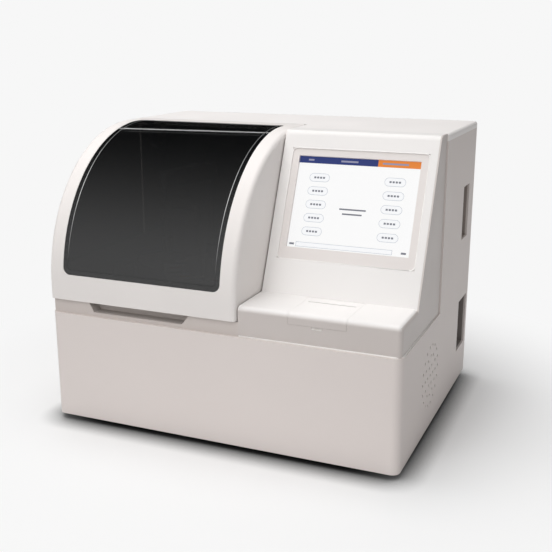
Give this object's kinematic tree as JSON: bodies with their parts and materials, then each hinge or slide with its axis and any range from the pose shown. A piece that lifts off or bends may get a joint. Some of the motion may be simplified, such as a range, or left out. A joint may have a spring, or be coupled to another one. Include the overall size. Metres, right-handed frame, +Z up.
{
  "type": "benchtop chemistry analyzer",
  "caption": "Benchtop chemistry analyzer: square casing, wrapped smoked lid over sample and reaction carousels, sloped touch screen and a slot printer.",
  "frame": {"origin": "on the table, under the middle of the casing's plan", "axes": "+X to the right seen from the front, +Y to the back, +Z up"},
  "size_m": [0.63, 0.5, 0.51],
  "materials": {
    "painted_casing": "satin powder coat",
    "white_cover": "moulded, fine texture",
    "zinc_plate": "zinc plated sheet",
    "rubber_feet": "matt rubber",
    "bezel_grey": "moulded, fine texture",
    "screen_glass": "anti-glare glass",
    "dark_plastic": "moulded",
    "smoked_window": "smoked clear plastic",
    "bright_steel": "ground steel",
    "sill_grey": "moulded",
    "liner_white": "moulded",
    "deck_steel": "coated steel",
    "disk_dark": "moulded",
    "bottle_plastic": "blown plastic",
    "tube_plastic": "clear moulded plastic",
    "alloy": "machined",
    "gear_plastic": "cut acetal",
    "brass_gear": "cut brass",
    "motor_black": "black coated",
    "paper_white": "wound thermal paper",
    "board_green": "soldered circuit board"
  },
  "bodies": {
    "housing": {"base_casing": "painted_casing", "chassis_plate": "zinc_plate", "feet": "rubber_feet", "roof_cover": "white_cover", "rear_panel": "painted_casing", "console_cover": "white_cover", "screen_bezel": "bezel_grey", "touch_screen": "screen_glass", "display_module": "dark_plastic", "hinge_brackets": "bright_steel", "lid_sill": "sill_grey", "inner_liner": "liner_white", "work_deck": "deck_steel", "reaction_tub": "alloy", "reagent_motor": "motor_black", "reaction_motor": "motor_black", "wash_wells": "liner_white", "arm_bushings": "dark_plastic", "lift_guides": "bright_steel", "photometer": "motor_black", "syringe_pump": "tube_plastic", "fluid_pumps": "motor_black", "printer_bucket": "dark_plastic", "print_head": "alloy", "fan_frame": "motor_black", "power_inlet": "dark_plastic", "fluid_ports": "liner_white", "grip_pocket": "sill_grey", "interface_bay": "dark_plastic", "interface_ports": "alloy", "power_supply": "zinc_plate", "main_board": "board_green"},
    "lid": {"lid_frame": "white_cover", "lid_window": "smoked_window", "lid_hinge_arms": "bright_steel"},
    "flap": {"printer_flap": "white_cover"},
    "platen": {"platen_roller": "rubber_feet"},
    "paper": {"paper_roll": "paper_white"},
    "reagent_carousel": {"reagent_disk": "disk_dark", "disk_handle": "dark_plastic", "reagent_bottles": "bottle_plastic", "sample_tubes": "tube_plastic", "reagent_gear": "gear_plastic"},
    "reagent_drive": {"reagent_pinion": "brass_gear"},
    "reaction_carousel": {"reaction_disk": "disk_dark", "cuvettes": "tube_plastic", "reaction_gear": "gear_plastic"},
    "reaction_drive": {"reaction_pinion": "brass_gear"},
    "probe_lift": {"probe_carriage": "alloy"},
    "probe_swing": {"probe_column": "bright_steel", "probe_arm": "white_cover", "probe_needle": "bright_steel"},
    "mixer_lift": {"mixer_carriage": "alloy"},
    "mixer_swing": {"mixer_column": "bright_steel", "mixer_arm": "white_cover"},
    "paddle": {"mixer_paddle": "bright_steel"},
    "syringe": {"syringe_plunger": "alloy"},
    "impeller": {"fan_impeller": "dark_plastic"},
    "rocker": {"power_rocker": "dark_plastic"}
  },
  "joints": [
    {"name": "lid_hinge", "type": "hinge", "parent": "housing", "child": "lid", "pos_m": [0, 0.1, 0.494], "axis": [-1, 0, 0], "range_deg": [0, 75]},
    {"name": "printer_flap_hinge", "type": "hinge", "parent": "housing", "child": "flap", "pos_m": [0.177, -0.152, 0.2475], "axis": [-1, 0, 0], "range_deg": [0, 90]},
    {"name": "platen_spin", "type": "hinge", "parent": "flap", "child": "platen", "pos_m": [0.177, -0.179, 0.2385], "axis": [1, 0, 0], "continuous": true},
    {"name": "paper_spin", "type": "hinge", "parent": "housing", "child": "paper", "pos_m": [0.177, -0.21, 0.2195], "axis": [1, 0, 0], "continuous": true},
    {"name": "reagent_disk_spin", "type": "hinge", "parent": "housing", "child": "reagent_carousel", "pos_m": [-0.078, -0.06, 0.215], "axis": [0, 0, 1], "continuous": true},
    {"name": "reagent_pinion_spin", "type": "hinge", "parent": "housing", "child": "reagent_drive", "pos_m": [-0.014, -0.06, 0.19], "axis": [0, 0, 1], "continuous": true},
    {"name": "reaction_disk_spin", "type": "hinge", "parent": "housing", "child": "reaction_carousel", "pos_m": [-0.236, 0.012, 0.215], "axis": [0, 0, 1], "continuous": true},
    {"name": "reaction_pinion_spin", "type": "hinge", "parent": "housing", "child": "reaction_drive", "pos_m": [-0.172, 0.012, 0.178], "axis": [0, 0, 1], "continuous": true},
    {"name": "probe_lift_slide", "type": "slide", "parent": "housing", "child": "probe_lift", "axis": [0, 0, 1], "range_m": [-0.05, 0]},
    {"name": "probe_arm_swing", "type": "hinge", "parent": "probe_lift", "child": "probe_swing", "pos_m": [-0.18, 0.105, 0.3], "axis": [0, 0, 1], "range_deg": [-16.8, 23.5]},
    {"name": "mixer_lift_slide", "type": "slide", "parent": "housing", "child": "mixer_lift", "axis": [0, 0, 1], "range_m": [-0.025, 0]},
    {"name": "mixer_arm_swing", "type": "hinge", "parent": "mixer_lift", "child": "mixer_swing", "pos_m": [-0.288, 0.112, 0.26], "axis": [0, 0, 1], "range_deg": [-23.3, 0]},
    {"name": "paddle_spin", "type": "hinge", "parent": "mixer_swing", "child": "paddle", "pos_m": [-0.20715, 0.09034, 0.3], "axis": [0, 0, 1], "continuous": true},
    {"name": "syringe_slide", "type": "slide", "parent": "housing", "child": "syringe", "axis": [0, 0, 1], "range_m": [0, 0.045]},
    {"name": "fan_spin", "type": "hinge", "parent": "housing", "child": "impeller", "pos_m": [0.3, -0.055, 0.106], "axis": [1, 0, 0], "continuous": true},
    {"name": "power_rocker_tilt", "type": "hinge", "parent": "housing", "child": "rocker", "pos_m": [0.245, 0.242, 0.0865], "axis": [1, 0, 0], "range_deg": [-6, 6]}
  ],
  "couplings": [
    {"joint": "platen_spin", "follows": "paper_spin", "ratio": -4.2},
    {"joint": "reagent_pinion_spin", "follows": "reagent_disk_spin", "ratio": -3},
    {"joint": "reaction_pinion_spin", "follows": "reaction_disk_spin", "ratio": -3}
  ]
}
